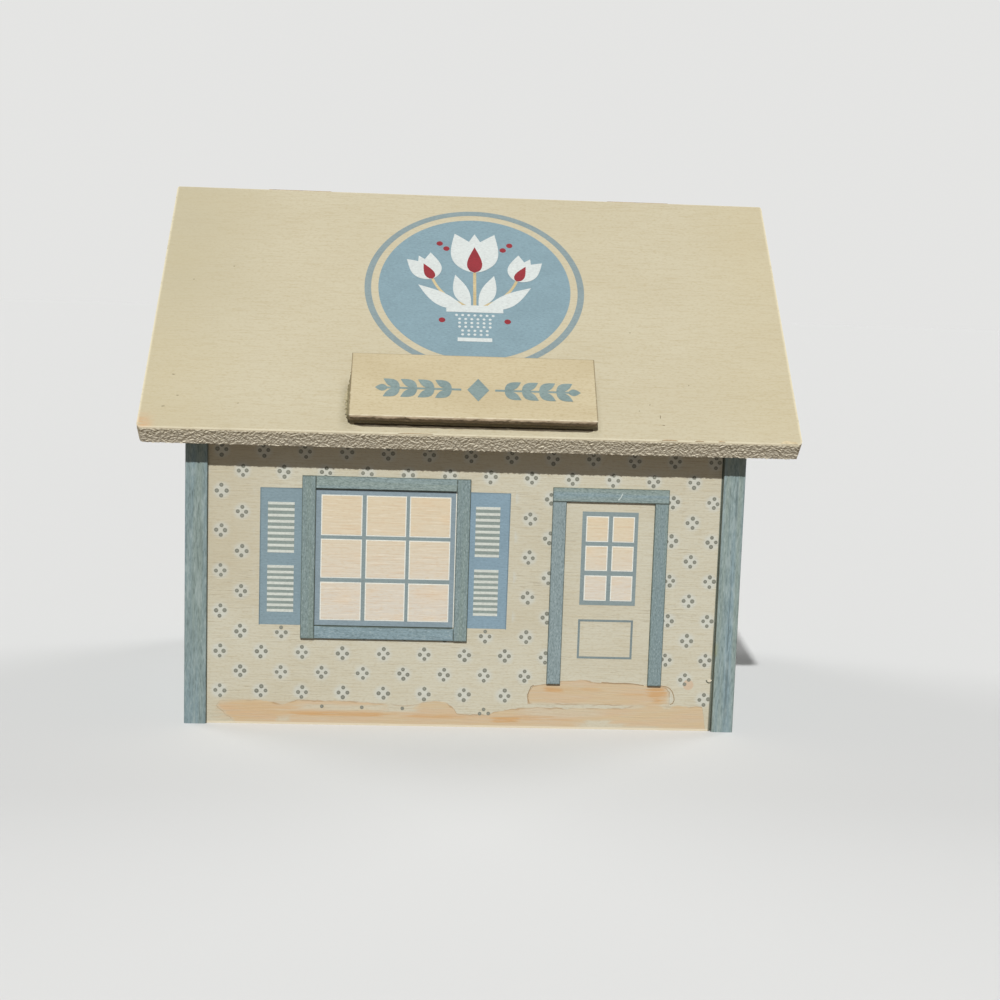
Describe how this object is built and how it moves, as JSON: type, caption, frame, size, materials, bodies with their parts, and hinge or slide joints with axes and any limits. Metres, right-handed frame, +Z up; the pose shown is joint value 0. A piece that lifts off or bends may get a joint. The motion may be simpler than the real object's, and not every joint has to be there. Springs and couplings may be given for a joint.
{
  "type": "recipe card box",
  "caption": "House-shaped wooden card box with a printed front, applied window and door trim, and a hinged front roof slope as its lid.",
  "frame": {"origin": "middle of the base, on the surface that the box stands on", "axes": "+X to the right across the front, +Y from the front to the back, +Z up"},
  "size_m": [0.1795, 0.1364, 0.1516],
  "materials": {
    "front_paint": "cream paint with printed pattern, satin",
    "back_paint": "cream paint, satin",
    "side_paint": "blue-grey paint, worn edges",
    "lid_paint": "cream paint with printed oval, satin",
    "roof_paint": "cream paint, satin",
    "sign_paint": "cream paint, satin",
    "trim_paint": "blue-grey paint",
    "raw_wood": "unpainted",
    "hinge_brass": "plated, dull",
    "screw_brass": "plated, dull",
    "side_brad": "painted over",
    "roof_brad": "painted over"
  },
  "bodies": {
    "house": {"front_wall": "front_paint", "back_wall": "back_paint", "left_side": "side_paint", "right_side": "side_paint", "floor": "raw_wood", "rear_roof": "roof_paint", "window_head": "trim_paint", "window_sill": "trim_paint", "window_left_jamb": "trim_paint", "window_right_jamb": "trim_paint", "door_head": "trim_paint", "door_left_jamb": "trim_paint", "door_right_jamb": "trim_paint", "left_hinge_roof_leaf": "hinge_brass", "left_hinge_pin": "hinge_brass", "left_hinge_roof_screws": "screw_brass", "right_hinge_roof_leaf": "hinge_brass", "right_hinge_pin": "hinge_brass", "right_hinge_roof_screws": "screw_brass", "left_side_brads": "side_brad", "right_side_brads": "side_brad", "rear_roof_brads": "roof_brad"},
    "lid": {"lid_panel": "lid_paint", "sign_plaque": "sign_paint", "sign_cleat": "raw_wood", "left_hinge_lid_leaf": "hinge_brass", "left_hinge_lid_screws": "screw_brass", "right_hinge_lid_leaf": "hinge_brass", "right_hinge_lid_screws": "screw_brass"}
  },
  "joints": [
    {"name": "lid_hinge", "type": "hinge", "parent": "house", "child": "lid", "pos_m": [0, 0.00559, 0.14834], "axis": [-1, 0, 0], "range_deg": [0, 190]}
  ]
}
